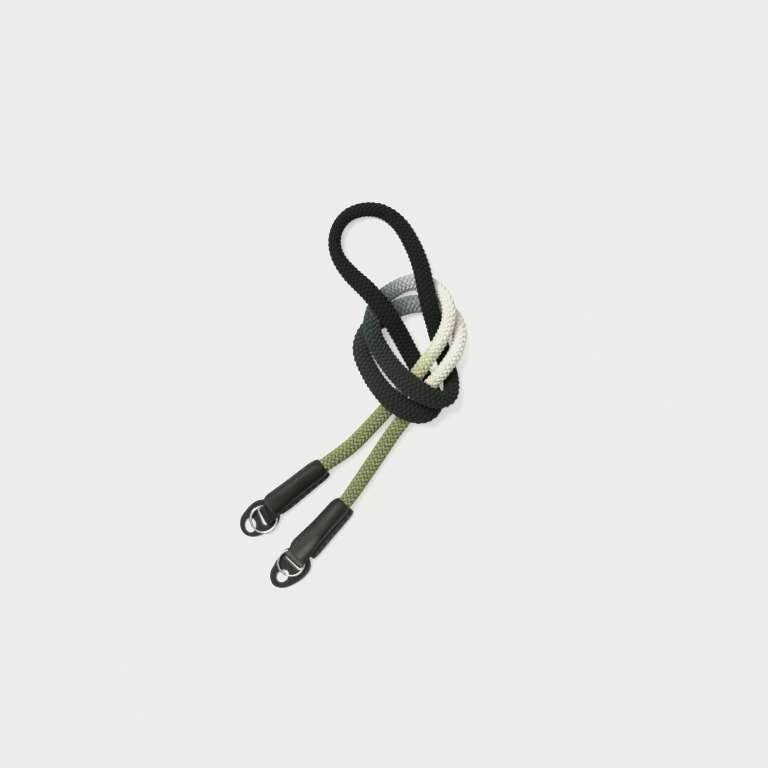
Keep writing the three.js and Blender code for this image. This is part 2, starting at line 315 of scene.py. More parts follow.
# Points on the rope's middle line between the two sleeves, and how wide the soft rope lies there
ROUTE = [
    (32.7, 45.9, 5.2, 9.6), (44.7, 57.9, 4.8, 9.6), (55.7, 69.9, 4.8, 9.6), (63.2, 77.9, 6, 9.4),
    (69.2, 84.9, 11.8, 9.2), (74.2, 91.4, 15.2, 9), (79.2, 98.4, 15.4, 8.8), (85.8, 107.9, 16.2, 9),
    (90.3, 116.9, 15.6, 8.8), (91.8, 125.2, 15.4, 8.8), (90.2, 133.3, 13.2, 8.2), (85.7, 139.5, 7.6, 8.8),
    (76.7, 143.9, 4.8, 10.2), (67.2, 143.9, 4.8, 10.2), (57.2, 138.9, 5.2, 10.4), (50.2, 132.7, 9.6, 10.8),
    (46.2, 123.4, 14.6, 11), (45.8, 114.2, 14.8, 11.4), (51.6, 102, 12.8, 11.8), (60.4, 90.1, 17.6, 12.5),
    (68.6, 82.5, 23, 13.2), (77.2, 77, 24.4, 12.6), (85.2, 73.9, 21.5, 11.2), (91.7, 75.9, 14.8, 10),
    (93.2, 83.4, 8.4, 10), (91.2, 92.4, 4.8, 10.4), (87.7, 102.4, 4.8, 10.8), (84.2, 114.9, 6.7, 11),
    (80.2, 128.9, 15, 11), (77.7, 139.9, 15.4, 11), (75.2, 151.9, 14, 11), (70.2, 165.4, 10, 10.6),
    (61.7, 179.4, 6.2, 10), (52.2, 186.4, 5, 9.4), (42.7, 187.9, 4.8, 9), (32.2, 184.9, 5, 8.6),
    (25.7, 177.9, 6, 8), (23.2, 168.4, 7.5, 8), (25.7, 158.4, 11, 8.8), (33.2, 148.4, 15.5, 10.6),
    (42.2, 139.9, 20.6, 11.4), (49.7, 131.4, 22.2, 11.6), (56.2, 122.9, 19.6, 11.4),
    (62.2, 112.9, 13.6, 11.2), (67.7, 102.9, 7.5, 11), (74.2, 91.4, 4.8, 10.8), (78.7, 83.9, 4.8, 10.4),
    (83.3, 76.4, 4.8, 10),
    (82.7, 68.9, 8.8, 10), (75.2, 65.4, 14.4, 12.4), (67, 67.9, 14.9, 13.4), (58.6, 72.9, 15.4, 13.2),
    (50.6, 81, 12, 12.2), (43.5, 92.2, 6, 11.6), (39.2, 103.9, 4.8, 11.2), (42.2, 114.4, 4.8, 11),
    (51.7, 122.5, 4.8, 11), (59.7, 127.9, 4.8, 11), (68.7, 130.9, 4.8, 11.4), (79.2, 131.4, 4.8, 11),
    (88.7, 128.4, 5, 10.4), (95.7, 121.9, 6.6, 9.8), (98.2, 112.9, 9, 9.2), (95.7, 102.4, 12.8, 8.8),
    (90.2, 93.9, 15.4, 8.6), (82.2, 84.4, 15.2, 8.8), (76.3, 78.3, 13.6, 9.2), (69.9, 70.1, 5.2, 9.6),
    (64.7, 62.4, 4.8, 9.6), (58.2, 53.9, 4.8, 9.6), (45.7, 35.4, 5, 9.6),
]


def placed(side, points):
    """Points of an end, (along, aside, up) from its sleeve's mouth, in the part's frame, in millimetres."""
    (x, y), heading = MOUTHS[side]
    angle = math.radians(heading)
    ahead = np.array([math.cos(angle), math.sin(angle), 0])
    across = np.array([-math.sin(angle), math.cos(angle), 0])
    points = np.asarray(points, dtype=float)
    return np.array([x, y, 0]) + points[:, :1] * ahead + points[:, 1:2] * across + points[:, 2:] * (0, 0, 1)


def travelled(points):
    """How far along its line each point lies."""
    return np.concatenate([[0], np.cumsum(np.linalg.norm(np.diff(points, axis=0), axis=1))])


# How far inside the mouth the rope's first points lie, and how wide it is there
ENTRY = [(ROPE_IN_SLEEVE, 9.2), (8, 9.2), (0, 8.7), (-2, 9)]
FINE_STEPS = 24
LINE_STEP = 1


def even_line(points, step):
    """A centripetal Catmull-Rom through the points, cut into even steps."""
    points = np.array(points, dtype=float)
    points = np.vstack([2 * points[0] - points[1], points, 2 * points[-1] - points[-2]])
    fine = []
    for a, b, c, d in zip(points, points[1:], points[2:], points[3:]):
        t0, t1, t2 = (np.linalg.norm((q - p)[:3]) ** 0.5 for p, q in ((a, b), (b, c), (c, d)))
        m1 = ((b - a) / t0 - (c - a) / (t0 + t1) + (c - b) / t1) * t1
        m2 = ((c - b) / t1 - (d - b) / (t1 + t2) + (d - c) / t2) * t1
        for t in np.arange(FINE_STEPS) / FINE_STEPS:
            fine.append((2 * t**3 - 3 * t**2 + 1) * b + (t**3 - 2 * t**2 + t) * m1
                        + (3 * t**2 - 2 * t**3) * c + (t**3 - t**2) * m2)
    fine.append(points[-2])
    fine = np.array(fine)
    travel = travelled(fine[:, :3])
    places = np.linspace(0, travel[-1], round(travel[-1] / step) + 1)
    return np.column_stack([np.interp(places, travel, column) for column in fine.T])


def eased(line, passes):
    """The line with its sharpest turns let out a little."""
    for _ in range(passes):
        line[1:-1] = (line[:-2] + 2 * line[1:-1] + line[2:]) / 4
    return line


LINE_PASSES = 10
HEIGHT_PASSES = 8
GREATEST_HALF_HEIGHT = 5
# How far from its ends the rope is never higher than it is wide
ROUND_END = 32
LIFT = 0.15

entries = [
    [(*placed(side, [(depth, 0, SLEEVE_RADIUS)])[0], width) for depth, width in ENTRY] for side in MOUTHS
]
line = eased(even_line(entries[0] + ROUTE + entries[1][::-1], LINE_STEP), LINE_PASSES)
half_width = line[:, 3] / 2
half_height = np.minimum((ROPE_DIAMETER / 2) ** 2 / half_width, GREATEST_HALF_HEIGHT)
travel = travelled(line[:, :3])
rope_length = travel[-1]
depth = np.minimum(travel, rope_length - travel)
half_height = np.where(depth < ROUND_END, np.minimum(half_height, half_width), half_height)
half_height = eased(half_height, LINE_PASSES)
line[:, 2] = eased(np.maximum(line[:, 2], half_height + LIFT), HEIGHT_PASSES)
rope_line = line[:, :3]

# Finishes


def make_material(name):
    material = bpy.data.materials.new(name)
    material.use_nodes = True
    graph = Graph(material.node_tree)
    return material, graph, material.node_tree.nodes["Principled BSDF"]


def texture(graph, kind, output, **inputs):
    """A texture laid out in the piece's own places."""
    inputs["Vector"] = graph.out("ShaderNodeTexCoord", "Object")
    return graph.number(f"ShaderNodeTex{kind}", output, {}, inputs)


# How the rope's dye changes, by millimetres of rope from the sleeve's mouth
FADE = [
    (0, (141, 149, 103)), (60, (141, 149, 103)), (77, (182, 186, 141)), (89, (199, 199, 163)),
    (100, (219, 216, 195)), (112, (229, 224, 211)), (141, (230, 226, 214)), (154, (208, 211, 204)),
    (163, (170, 176, 169)), (170, (140, 148, 142)), (185, (82, 94, 88)), (198, (57, 66, 61)),
    (216, (48, 55, 49)), (240, (41, 47, 40)), (288, (30, 36, 29)), (330, (24, 30, 23)),
]
FADE_END = 400
# How much nearer to its mouth the right end's dye changes, in millimetres
DYE_LEAD = 4
# How far a float's dye strays along the fade, as a share of FADE_END
DYE_SCATTER = 0.02
FILAMENTS = 14
FILAMENT_TWIST = 3


def dye_at(graph, share):
    """The dye's colour at a share of the fade's length."""
    ramp_node = graph.node("ShaderNodeValToRGB", inputs={0: share})
    stops = ramp_node.color_ramp.elements
    while len(stops) < len(FADE):
        stops.new(1)
    for stop, (place, colour) in zip(stops, FADE):
        stop.position = place / FADE_END
        stop.color = srgb(*colour)
    return ramp_node.outputs["Color"]


def braided_cord():
    """Soft yarn whose dye fades along the rope, each float of it a touch lighter or darker."""
    material, graph, shader = make_material("braided_cord")
    tint = graph.attribute("tint")
    dye = dye_at(graph, graph.attribute("from_mouth") / FADE_END + (tint - 0.5) * DYE_SCATTER)
    shade = graph.out("ShaderNodeHueSaturation", 0, {}, {"Value": tint * 0.14 + 0.93, "Color": dye})
    across, length_way, _ = graph.split(graph.out("ShaderNodeUVMap", 0, {"uv_map": "strand"}))
    ridges = (across * FILAMENTS * math.tau + length_way * FILAMENT_TWIST).math("SINE")
    graph.feed(shader, {
        "Base Color": shade, "Normal": graph.bump(0.14, 0.00006, ridges), "Roughness": 0.85,
        "Sheen Weight": 0.04, "Sheen Roughness": 0.5, "Specular IOR Level": 0.15,
    })
    return material


def rope_heart():
    """The inside of the rope, between its yarns, dimmed by the shade number: painted shade that darkens the
    gaps between the yarns.
    """
    material, graph, shader = make_material("rope_heart")
    dye = dye_at(graph, graph.attribute("from_mouth") / FADE_END)
    grain = graph.number("ShaderNodeTexNoise", "Fac", {}, {"Scale": 2500.0})
    graph.feed(shader, {
        "Base Color": graph.scaled(dye, graph.attribute("shade")), "Normal": graph.bump(0.5, 0.0001, grain),
        "Roughness": 0.95,
    })
    return material


def black_leather():
    """Black dyed leather: a fine grain, cloudy gloss, cut edges rubbed a little lighter, and painted
    highlights and painted shade carried on its edge and tone numbers.
    """
    material, graph, shader = make_material("black_leather")
    cloud = texture(graph, "Noise", "Fac", Scale=140.0, Detail=4.0)
    pores = texture(graph, "Voronoi", "Distance", Scale=1900.0)
    creases = texture(graph, "Noise", "Fac", Scale=700.0, Detail=6.0)
    edge = graph.attribute("edge")
    # The tone number also holds painted shade along each sleeve's seam side
    hide = graph.mixed(cloud * 0.3 + graph.attribute("tone") * 0.7, srgb(14, 18, 8), srgb(47, 50, 38))
    graph.feed(shader, {
        # The edge number lightens rubbed edges, and also painted highlights on the sleeve's ridge, the tab's
        # crest and the flange
        "Base Color": graph.mixed(edge * 0.65, hide, srgb(108, 109, 98)),
        "Normal": graph.bump(0.35, 0.00012, pores * 0.6 + creases * 0.5),
        "Roughness": cloud * 0.14 + 0.44 + edge * 0.15, "Specular IOR Level": 0.23,
    })
    return material


def sewing_thread():
    """Waxed black thread with its twist."""
    material, graph, shader = make_material("sewing_thread")
    twist = texture(graph, "Wave", "Fac", Scale=900.0, Distortion=2.0)
    graph.feed(shader, {
        "Base Color": graph.mixed(twist, srgb(24, 25, 21), srgb(40, 42, 36)),
        "Normal": graph.bump(0.4, 0.00008, twist), "Roughness": 0.6,
    })
    return material


def plated_steel():
    """Bright plated spring steel with faint drawing marks."""
    material, graph, shader = make_material("plated_steel")
    smear = texture(graph, "Noise", "Fac", Scale=350.0, Detail=5.0)
    graph.feed(shader, {
        "Base Color": graph.mixed(smear, srgb(156, 153, 148), srgb(200, 197, 191)),
        "Normal": graph.bump(0.08, 0.00005, smear), "Roughness": smear * 0.14 + 0.24, "Metallic": 1,
    })
    return material


FLOOR_GLOW = 0.42


def pale_surface():
    """The plain pale sheet that the strap lies on, lit through from below a little."""
    material, graph, shader = make_material("pale_surface")
    mottle = texture(graph, "Noise", "Fac", Scale=3.0)
    graph.feed(shader, {
        "Base Color": graph.mixed(mottle, (0.83, 0.83, 0.82, 1), (0.85, 0.85, 0.84, 1)),
        "Emission Color": (1, 1, 0.985, 1), "Emission Strength": FLOOR_GLOW, "Roughness": 0.9,
        "Specular IOR Level": 0.1,
    })
    return material


CORD = braided_cord()
HEART = rope_heart()
HIDE = black_leather()
THREAD = sewing_thread()
STEEL = plated_steel()

# The rope

BRAID_COLUMNS = 12
BRAID_PITCH = 2.85
YARN_LENGTH = 4.2
YARN_WIDTH = 1.9
YARN_HEIGHT = 1.6
YARN_SINK = 0.7
YARN_DROP = 0.75
YARN_SLANT = 54
BRAID_TWIST = 0.004
YARN_PIECES = 4
YARNS_IN_SLEEVE = 5
SEED_STEP = 40
# How far a float strays along the rope, in pitches, round it, in columns, and turned, in radians
STRAY_ALONG = 0.04
STRAY_AROUND = 0.05
STRAY_TURN = 0.05
# The least and the greatest scale of a float's length, width and height
FLOAT_SCALES = ((0.94, 1.06), (0.93, 1.05), (0.92, 1.06))
HEART_SIDES = 16
# How deep the inner tube lies, and what share of its dye is left after the painted shade that darkens the
# gaps between the yarns, by distance from the mouth
HEART_SINK = ((80, 0.95), (98, 0.72), (145, 0.72), (165, 0.95))
HEART_SHADE = ((60, 0.3), (90, 0.95), (145, 0.95), (175, 0.45))


def braid_tree():
    """Lays the floats of the braid out flat, row by row, then wraps them round the rope's line."""
    graph, size = make_tree("braid", {
        "Float": ["From", "Pitch", "Rope Length", "Yarn Length", "Yarn Width", "Yarn Height", "Sink", "Drop",
                  "Slant", "Mean Radius", "Twist", "In Sleeve"],
        "Int": ["Rows", "Columns", "Seed"],
        "Material": ["Material"],
    })

    ball = graph.node("GeometryNodeMeshUVSphere", inputs={"Segments": 8, "Rings": 6, "Radius": 1.0})
    strand = graph.out("GeometryNodeStoreNamedAttribute", 0, {"data_type": "FLOAT2", "domain": "CORNER"}, {
        "Geometry": ball.outputs["Mesh"], "Name": "strand", "Value": ball.outputs["UV Map"],
    })
    lying = graph.out("GeometryNodeTransform", 0, {}, {"Geometry": strand, "Rotation": (0, math.pi / 2, 0)})
    x, y, z = graph.split(graph.out("GeometryNodeInputPosition"))
    fullness = (1 + x * x).math("SQRT")
    grain = graph.out("GeometryNodeSetPosition", 0, {}, {
        "Geometry": lying,
        "Position": graph.combined(
            x * size["Yarn Length"] * 0.5, y * fullness * size["Yarn Width"] * 0.5,
            z * fullness * size["Yarn Height"] * 0.5 - x * x * size["Drop"]),
    })

    index = graph.number("GeometryNodeInputIndex")
    column = index.math("MODULO", size["Columns"])
    row = (index / size["Columns"]).math("FLOOR")
    odd = column.math("MODULO", 2.0)

    def random(low, high, extra):
        return graph.number("FunctionNodeRandomValue", "Value", {"data_type": "FLOAT"}, {
            "Min": low, "Max": high, "Seed": size["Seed"] + extra,
        })

    along = size["From"] + (row + odd * 0.5 + random(-STRAY_ALONG, STRAY_ALONG, 1)) * size["Pitch"]
    column_width = size["Mean Radius"] * math.tau / size["Columns"]
    around = (column + random(-STRAY_AROUND, STRAY_AROUND, 2)) * column_width
    dye_length = size["Rope Length"] + DYE_LEAD * MM
    spots = graph.out("GeometryNodePoints", 0, {}, {
        "Count": size["Rows"] * size["Columns"], "Position": graph.combined(along, around, 0.0),
    })
    for key, value in (
        ("tint", random(0.0, 1.0, 3)),
        ("from_mouth", along.math("MINIMUM", dye_length - along) / MM - size["In Sleeve"]),
    ):
        spots = graph.out("GeometryNodeStoreNamedAttribute", 0, {"data_type": "FLOAT", "domain": "POINT"}, {
            "Geometry": spots, "Name": key, "Value": value,
        })
    turn = (odd * 2 - 1) * size["Slant"] + random(-STRAY_TURN, STRAY_TURN, 4)
    floats = graph.out("GeometryNodeInstanceOnPoints", 0, {}, {
        "Points": spots, "Instance": grain,
        "Rotation": graph.out("FunctionNodeEulerToRotation", 0, {}, {0: graph.combined(0.0, 0.0, turn)}),
        "Scale": graph.combined(*(random(*scales, extra) for extra, scales in enumerate(FLOAT_SCALES, 5))),
    })
    flat = graph.out("GeometryNodeRealizeInstances", 0, {}, {0: floats})

    cord = graph.out("GeometryNodeMeshToCurve", 0, {}, {0: size["Geometry"]})
    x, y, z = graph.split(graph.out("GeometryNodeInputPosition"))

    def sampled(name):
        kept = {"data_type": "FLOAT"}
        value = graph.out("GeometryNodeInputNamedAttribute", "Attribute", kept, {"Name": name})
        return graph.node("GeometryNodeSampleCurve", {"mode": "LENGTH", **kept}, {
            "Curves": cord, "Value": value, "Length": x,
        })

    by_width, by_height = sampled("half_width"), sampled("half_height")
    place, tangent = by_width.outputs["Position"], by_width.outputs["Tangent"]
    dot = {"operation": "DOT_PRODUCT"}
    lean = graph.number("ShaderNodeVectorMath", "Value", dot, {0: tangent, 1: (0, 0, 1)})
    up = graph.vector("NORMALIZE", graph.vector("SUBTRACT", (0, 0, 1), graph.scaled(tangent, lean)))
    aside = graph.vector("CROSS_PRODUCT", tangent, up)
    angle = y / size["Mean Radius"] + x / MM * size["Twist"]
    width = Number(graph, graph.socket(by_width.outputs, "Value")) - size["Sink"] + z
    height = Number(graph, graph.socket(by_height.outputs, "Value")) - size["Sink"] + z
    wrapped = graph.vector("ADD", place, graph.vector(
        "ADD", graph.scaled(aside, width * angle.math("COSINE")),
        graph.scaled(up, height * angle.math("SINE"))))
    rope = graph.out("GeometryNodeSetPosition", 0, {}, {"Geometry": flat, "Position": wrapped})
    finish_tree(graph, rope, size["Material"])
    return graph.tree


def rope_heart_piece():
    """The rope's inner tube, a little thinner than the yarns round it."""
    tangents = np.gradient(rope_line, axis=0)
    tangents /= np.linalg.norm(tangents, axis=1)[:, None]
    ups = np.array([0, 0, 1]) - tangents * tangents[:, 2:]
    ups /= np.linalg.norm(ups, axis=1)[:, None]
    asides = np.cross(tangents, ups)
    angles = np.arange(HEART_SIDES) / HEART_SIDES * math.tau
    sunk = np.interp(depth - ROPE_IN_SLEEVE, *zip(*HEART_SINK))
    rings = []
    for i in range(0, len(rope_line), 2):
        wide, high = half_width[i] - sunk[i], half_height[i] - sunk[i]
        rings.append(rope_line[i] + np.outer(np.cos(angles) * wide, asides[i])
                     + np.outer(np.sin(angles) * high, ups[i]))
    points, faces = loft(rings)
    dyed = np.minimum(travel, rope_length + DYE_LEAD - travel)
    from_mouth = np.repeat(dyed[::2] - ROPE_IN_SLEEVE, HEART_SIDES)
    # Painted shade: the inner tube's dye is dimmed by these shares, so the gaps between the yarns look
    # shadowed
    shade = np.interp(from_mouth, *zip(*HEART_SHADE))
    numbers = {"from_mouth": np.append(from_mouth, [0, 0]), "shade": np.append(shade, [0, 0])}
    return make_solid("rope_heart", points, faces, HEART, numbers)


def braid_pieces():
    """The rope's yarns, in a few pieces along its length."""
    tree = braid_tree()
    edges = [(i, i + 1) for i in range(len(rope_line) - 1)]
    hidden = ROPE_IN_SLEEVE - YARNS_IN_SLEEVE
    rows = int((rope_length - 2 * hidden) / BRAID_PITCH)
    bounds = np.linspace(0, rows, YARN_PIECES + 1).astype(int)
    pieces = []
    for number, (first, last) in enumerate(zip(bounds, bounds[1:]), 1):
        mesh = make_mesh("rope_line", rope_line, [], edges, {
            "half_width": half_width * MM, "half_height": half_height * MM,
        })
        pieces.append(grown(f"rope_yarns_{number}", mesh, tree, {
            "From": (hidden + first * BRAID_PITCH) * MM, "Pitch": BRAID_PITCH * MM, "Rows": int(last - first),
            "Columns": BRAID_COLUMNS, "Rope Length": float(rope_length) * MM, "Yarn Length": YARN_LENGTH * MM,
            "Yarn Width": YARN_WIDTH * MM, "Yarn Height": YARN_HEIGHT * MM, "Sink": YARN_SINK * MM,
            "Drop": YARN_DROP * MM, "Slant": math.radians(YARN_SLANT), "Mean Radius": ROPE_DIAMETER / 2 * MM,
            "Twist": BRAID_TWIST, "In Sleeve": float(ROPE_IN_SLEEVE), "Seed": SEED_STEP * number,
            "Material": CORD,
        }))
    return pieces


heart = rope_heart_piece()
yarns = braid_pieces()

# The leather ends


def sloped(side, points, aside):
    """Points of a pad, from its tip, as it lies with its rear on the sleeve's tab."""
    tip = FOLD_END + SLIT_OPENING + PADS[side]["ahead"]
    x, y, z = np.asarray(points, dtype=float).T
    return np.column_stack([
        tip + x * math.cos(PAD_TILT) + z * math.sin(PAD_TILT), y + aside,
        z * math.cos(PAD_TILT) - x * math.sin(PAD_TILT),
    ])


# A sleeve's rows: how far along, its plain side's edge, the seam, the flange's edge, its underside, its top,
# how square it is, from 0, round, to 1, and how far its ridge leans towards the seam
SLEEVES = {
    "left": [
        (0, -5, 5, 6.7, 1.1, 11.4, 0, 0), (1.2, -5.7, 5.4, 7.2, 0.5, 11.9, 0, -0.4),
        (4.6, -6.4, 5.7, 7.7, 0, 12.3, 0, -1), (10, -6.5, 5.8, 7.9, 0, 12.4, 0, -1.4),
        (22, -6.5, 6.1, 8.5, 0, 12.3, 0, -1.4), (29, -6.5, 6.4, 8.7, 0, 11.3, 0.1, -0.8),
        (33, -6.6, 6.7, 8.8, 0, 10, 0.3, -0.6), (36.5, -6.7, 7, 8.6, 0, 8.9, 0.45, -0.4),
    ],
    "right": [
        (0, -4.9, 4.8, 7.5, 1.1, 11.4, 0, 0), (1.2, -5.6, 5.2, 8.2, 0.5, 11.9, 0, 0.2),
        (4.6, -6.4, 5.6, 8.7, 0, 12.3, 0, 0.5), (10, -6.4, 5.8, 9.1, 0, 12.4, 0, 1.1),
        (19, -6.3, 6, 9.5, 0, 12.3, 0.05, 2), (27, -6.6, 6.3, 10, 0, 11.6, 0.1, 3.3),
        (33, -6.9, 6.8, 10.3, 0, 10.2, 0.2, 4.4), (36.5, -7.1, 7, 10.1, 0, 9, 0.4, 4.8),
    ],
}
SLEEVE_STEPS = 8
TUBE_POINTS = 34
SEAM_HEIGHT = 3.5
SQUARENESS = 0.45
LEAN_POWER = 3
# The heights, from the seam's, at which the tube ends and the flange begins
TUBE_ENDS = (1.15, -1.1)
NARROWEST_FLANGE = 1.2
# The flange's section, from below round to its top: the share of its width, the height, and how much lighter
# it is made, partly its rubbed cut edge and partly painted light where the tube shades it
FLANGE = (
    (0.35, -1.1, 0.4), (0.75, -1.1, 0.8), (0.95, -0.8, 0.9), (1, 0, 0.9), (0.95, 0.75, 0.8),
    (0.75, 1.05, 0.5), (0.5, 1.1, 0.1),
)
# The bead where the flange's top meets the tube: how far out, and the height
BEAD = ((0.95, 1.75), (0.35, 1))
# How the mouth turns in over the rope: the radius and the place of each ring, and how rubbed all four are
MOUTH = ((4.1, 4), (4.1, 0.3), (4.2, -0.05))
MOUTH_RUB = [0, 0, 1, 0.8]
MOUTH_EDGE = 0.35
# How the front closes: how far ahead, at what share of its size, and how rubbed
FRONT = ((0.35, 0.985, 0.5), (0.55, 0.95, 1), (0.5, 0.9, 0.6), (-0.3, 0.86, 0), (-1.5, 0.84, 0))
# How far the front's upper side runs out over the tab
OVERHANG = {"left": 3.6, "right": 5.6}
# How strong the painted highlight is on each end, along the sleeve's ridge near the front and on the tab's
# fold crest, from 0 to 1
PAINTED_HIGHLIGHT = {"left": 0.06, "right": 0.95}
# How light the leather is made on each sleeve, tab and pad, from 0 to 1
TONES = {"left": (0.35, 0, 0.1), "right": (0.65, 0.9, 0.5)}
# Without a seed the noise would follow the clock
DENT_SEED = 1


def ramp(values, start, length):
    """Rises from 0 at a start to 1 a length further on."""
    return np.clip((values - start) / length, 0, 1)


def bell(values, middle, width):
    """1 at the middle, falling off to both sides."""
    return np.exp(-((values - middle) / width) ** 2)


noise.seed_set(DENT_SEED)


def dented(points, size, rate):
    """Points moved a little, as soft leather lies uneven."""
    moves = [noise.noise_vector(Vector(point) * rate) for point in points]
    return points + np.array(moves) * (0, size, size)


def tube_point(row, angle):
    """A point of the sleeve's tube, at an angle round it from the seam's side."""
    along, plain, seam, _, low, high, square, lean = row

    def bend(value):
        return math.copysign(abs(value) ** (1 - SQUARENESS * square), value)

    leant = lean * max(0, math.sin(angle)) ** LEAN_POWER
    return (along, (plain + seam) / 2 + (seam - plain) / 2 * bend(math.cos(angle)) + leant,
            (low + high) / 2 + (high - low) / 2 * bend(math.sin(angle)))


def sleeve_section(row):
    """A ring round the tube from the seam's top to its underside, then round the flange."""
    along, _, _, flange, low, high, _, _ = row
    centre, rise = (low + high) / 2, (high - low) / 2
    top, under = (math.asin(max(-1, min(1, (SEAM_HEIGHT + up - centre) / rise))) for up in TUBE_ENDS)
    turn = (math.tau + under - top) / (TUBE_POINTS - 1)
    ring = [tube_point(row, top + turn * i) for i in range(TUBE_POINTS)]
    inner = ring[-1][1]
    outer = max(flange, inner + NARROWEST_FLANGE)
    ring += [(along, inner + (outer - inner) * share, SEAM_HEIGHT + up) for share, up, _ in FLANGE]
    ring += [(along, ring[0][1] + out, SEAM_HEIGHT + up) for out, up in BEAD]
    return np.array(ring)


def sleeve_piece(side):
    """The leather tube round the rope's end, with its turned mouth and its sewn flange."""
    rings = [sleeve_section(row) for row in curve_through(SLEEVES[side], SLEEVE_STEPS)]
    mouth = rings[0]
    centre = mouth[:TUBE_POINTS].mean(axis=0)
    spokes = mouth - centre
    reach = np.linalg.norm(spokes[:, 1:], axis=1)[:, None]
    angles = np.arctan2(spokes[:, 2], spokes[:, 1])

    def round_mouth(radius, shift):
        return np.column_stack([
            mouth[:, 0] + shift, centre[1] + radius * np.cos(angles), centre[2] + radius * np.sin(angles),
        ])

    target = np.maximum(reach - MOUTH_EDGE, np.minimum(reach, 3.9))
    drawn_in = np.column_stack([mouth[:, 0] - 0.2, (centre + spokes * (target / reach))[:, 1:]])
    turned_in = [round_mouth(radius, shift) for radius, shift in MOUTH] + [drawn_in]
    front = rings[-1]
    middle = front.mean(axis=0)
    closing = [
        np.column_stack([front[:, 0] + ahead, (middle + (front - middle) * scale)[:, 1:]])
        for ahead, scale, _ in FRONT
    ]
    points, faces = loft(turned_in + rings + closing)
    upper = ramp(points[:, 2], 4.8, 3)
    points[:, 0] += OVERHANG[side] * ramp(points[:, 0], 26, 10.5) ** 2 * upper * upper * (3 - 2 * upper)
    rub = MOUTH_RUB + [0] * len(rings) + [rubbed for _, _, rubbed in FRONT]
    edge = np.repeat(rub, len(mouth)).astype(float)
    # The flange is made lighter: partly its rubbed cut edge, partly painted light where the tube shades it
    flange_rim = np.tile([0] * (TUBE_POINTS + 2) + [rubbed for _, _, rubbed in FLANGE], len(rub))
    edge = np.append(np.maximum(edge, flange_rim), [0, 0])
    # A painted highlight: a lighter streak along the sleeve's top ridge towards the front, put into the edge
    # number
    painted_ridge_highlight = ramp(points[:, 0], 24, 10) * bell(points[:, 1], 2.4, 1.8)
    edge = np.maximum(edge, painted_ridge_highlight * PAINTED_HIGHLIGHT[side] * ramp(points[:, 2], 5, 1))
    # Painted shade: the leather's tone is darkened along the tube's seam side, which faces away from the
    # light
    painted_seam_side_shade = bell(points[:, 1], 4.4, 1.6) * ramp(points[:, 2], 4, 1)
    numbers = {"edge": edge, "tone": TONES[side][0] * (1 - 0.95 * painted_seam_side_shade)}
    points = placed(side, dented(points, size=0.16, rate=0.11))
    return make_solid(f"sleeve_shell_{side}", points, faces, HIDE, numbers)


# A tab's rows: the share of the way along its strip, then its two edges at that place
TABS = {
    "left": [(0, -5.2, 7.6), (0.15, -5, 7.6), (0.3, -3.4, 8.2), (0.42, -2.6, 8.4), (0.55, -2.5, 8.3),
             (0.66, -2.3, 8.1), (0.8, -2.4, 8), (1, -2.6, 8)],
    "right": [(0, -4, 6.6), (0.15, -5, 7.4), (0.3, -5.8, 7.8), (0.42, -5.2, 8), (0.55, -4.9, 7.9),
              (0.66, -4.2, 7.7), (0.8, -4.2, 7.6), (1, -4.2, 7.6)],
}
# Where each strip comes out of the sleeve: how far along, and how high from the top of its fold
TAB_START = [(31, -3), (35, -2), (38.5, -1.2), (41, -1.4)]
# How far each tab's fold lies ahead, straight and for each millimetre towards the seam
TAB_SHIFT = {"left": (0, 0.16), "right": (0.4, 0)}
CREST_LIFT = 0.45


def crest(angle):
    """How near a place of the bend is to its top, where the leather is pulled up and a painted highlight
    lies.
    """
    return bell(angle, 0.5, 0.35)


def strip_section():
    """The strip's section, across and up, each from -1 to 1, with rounded corners."""
    flat = np.linspace(-0.88, 0.88, 12)
    section = [(-1, 0), (-0.985, 0.6), (-0.95, 0.9)] + [(across, 1) for across in flat]
    section += [(0.95, 0.9), (0.985, 0.6), (1, 0), (0.985, -0.6), (0.95, -0.9)]
    section += [(across, -1) for across in flat[::-1]] + [(-0.95, -0.9), (-0.985, -0.6)]
    return np.array(section).T


def tab_piece(side):
    """The strip of leather that leaves the sleeve over the ring, folds down through the pad and runs back."""
    fold_radius = TAB_HEIGHT / 2
    fold = FOLD_END - fold_radius
    reach = fold_radius - LEATHER / 2
    run = [(along, TAB_HEIGHT + up, 0) for along, up in TAB_START]
    for angle in np.radians(np.arange(10, 181, 17)):
        lifted = reach + crest(angle) * CREST_LIFT
        run.append((fold + reach * math.sin(angle), fold_radius + lifted * math.cos(angle), angle))
    run += [(along, LEATHER / 2, math.pi) for along in (fold - 2, 38, 33)]
    path = curve_through(run, 3)
    lengths = travelled(path[:, :2])
    shares = lengths / lengths[-1]
    places, *sides = np.array(TABS[side]).T
    low, high = (np.interp(shares, places, edge) for edge in sides)
    across, up = strip_section()
    rim = np.abs(across) ** 16 * 0.7
    rings, edges = [], []
    for (u, z, angle), a, b in zip(path, low, high):
        side_way = (a + b) / 2 + (b - a) / 2 * across
        crown = 0.35 * (1 - across ** 2) - 0.25
        lift = LEATHER / 2 * up + crown * math.cos(angle / 2)
        rings.append(np.column_stack([u + lift * math.sin(angle), side_way, z + lift * math.cos(angle)]))
        # The strip's rims are rubbed lighter, and a painted highlight lies on the top of its fold's crest
        edges.append(np.maximum(rim, crest(angle) * PAINTED_HIGHLIGHT[side] * (up > 0)))
    points, faces = loft(rings)
    edge = np.append(np.concatenate(edges), [0, 0])
    straight, skewed = TAB_SHIFT[side]
    ahead = ramp(points[:, 0], 38, 6) * ramp(points[:, 2], 0.5, 2)
    points[:, 0] += ahead * (straight + skewed * (points[:, 1] + 2.4))
    points = placed(side, dented(points, size=0.12, rate=0.13))
    numbers = {"edge": edge, "tone": np.full(len(edge), TONES[side][1])}
    return make_solid(f"tab_{side}", points, faces, HIDE, numbers)


